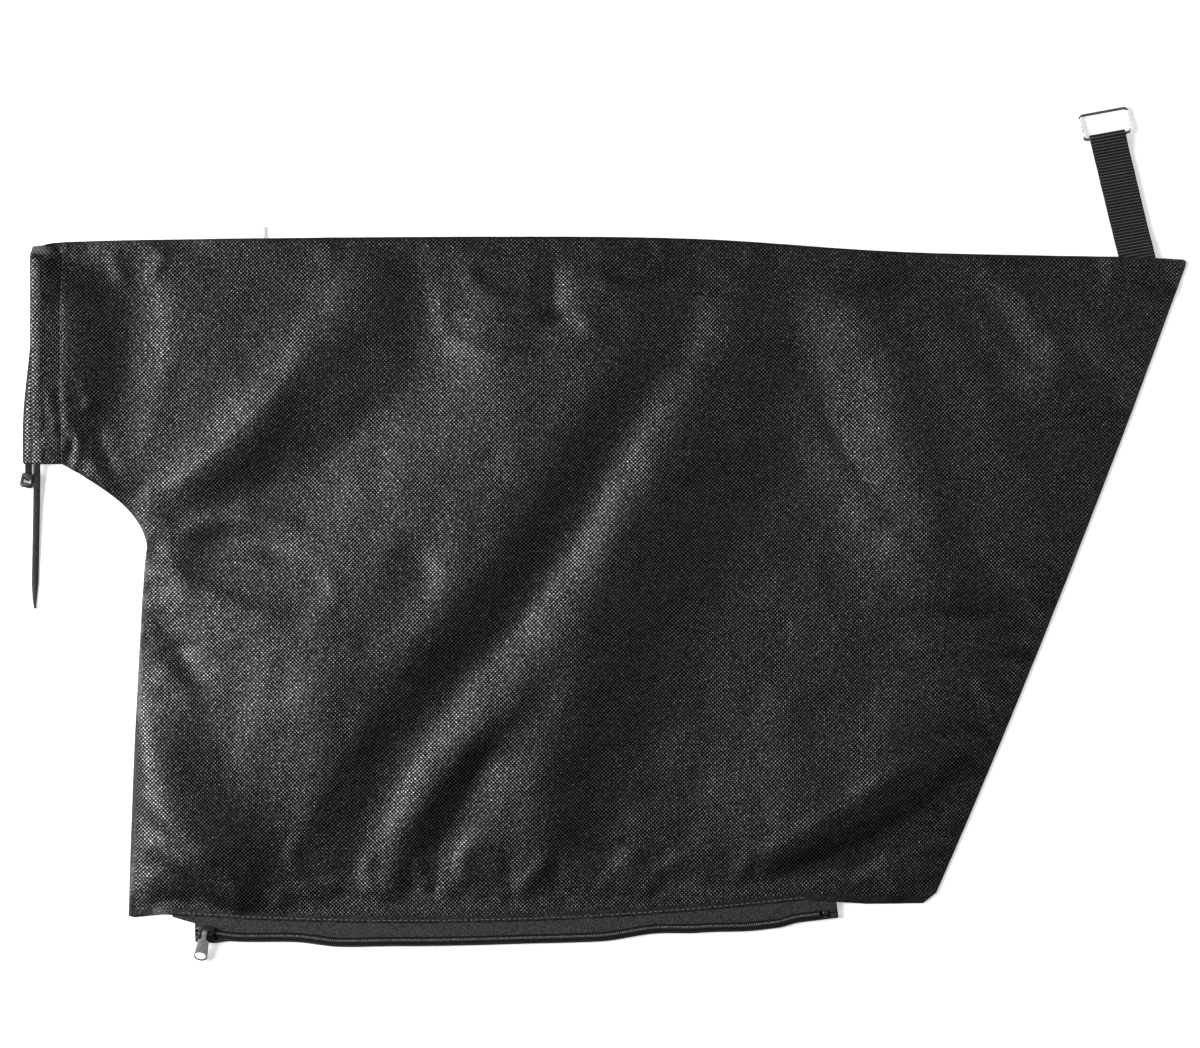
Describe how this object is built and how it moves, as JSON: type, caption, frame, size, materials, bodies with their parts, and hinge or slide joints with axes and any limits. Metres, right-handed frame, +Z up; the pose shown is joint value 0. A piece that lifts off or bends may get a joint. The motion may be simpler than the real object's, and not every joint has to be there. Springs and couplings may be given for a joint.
{
  "type": "leaf vacuum collection bag",
  "caption": "Flat non-woven collection bag of a leaf vacuum, with a tied neck, a zipped bottom edge with slider and pull tab, and a webbing strap with a wire ring",
  "frame": {"origin": "middle of the object's box, on the surface that it lies on", "axes": "+X along the top seam from the neck's mouth to the far corner, +Y from the zipped bottom edge to the top seam, +Z up out of the front panel"},
  "size_m": [0.8168, 0.5976, 0.0198],
  "materials": {
    "cloth": "black spun-bonded cloth, embossed with small dots, soft sheen",
    "tape": "black woven polyester tape, matte",
    "nylon": "black nylon, satin",
    "webbing": "black ribbed polypropylene webbing",
    "dark_metal": "gunmetal plating, satin",
    "nickel": "bright nickel plated wire",
    "satin_ribbon": "white satin ribbon, blank"
  },
  "bodies": {
    "bag": {"front_panel": "cloth", "back_panel": "cloth", "zip_tape_front": "tape", "zip_tape_back": "tape", "zip_coil_front": "nylon", "zip_coil_back": "nylon", "zip_top_stop_front": "dark_metal", "zip_top_stop_back": "dark_metal", "zip_bottom_stop": "dark_metal", "hanging_strap": "webbing", "seam_label": "satin_ribbon", "cable_tie": "nylon"},
    "slider": {"zip_slider": "dark_metal"},
    "tab": {"zip_pull_tab": "dark_metal"},
    "ring": {"strap_ring": "nickel"}
  },
  "joints": [
    {"name": "zip_slide", "type": "hinge", "parent": "bag", "child": "slider", "pos_m": [-0.13565, 2.08141, 0.0048], "axis": [0, 0, 1], "range_deg": [0, 10.3], "deforming": ["zip_coil_front", "zip_coil_back", "zip_tape_front", "zip_tape_back"]},
    {"name": "pull_tab_swing", "type": "hinge", "parent": "slider", "child": "tab", "pos_m": [-0.27856, -0.27927, 0.01025], "axis": [-0.9982, 0.0604, 0], "range_deg": [0, 140]},
    {"name": "ring_swing", "type": "hinge", "parent": "bag", "child": "ring", "pos_m": [0.35227, 0.27787, 0.0028], "axis": [0.9836, 0.1805, 0], "range_deg": [0, 170]}
  ]
}
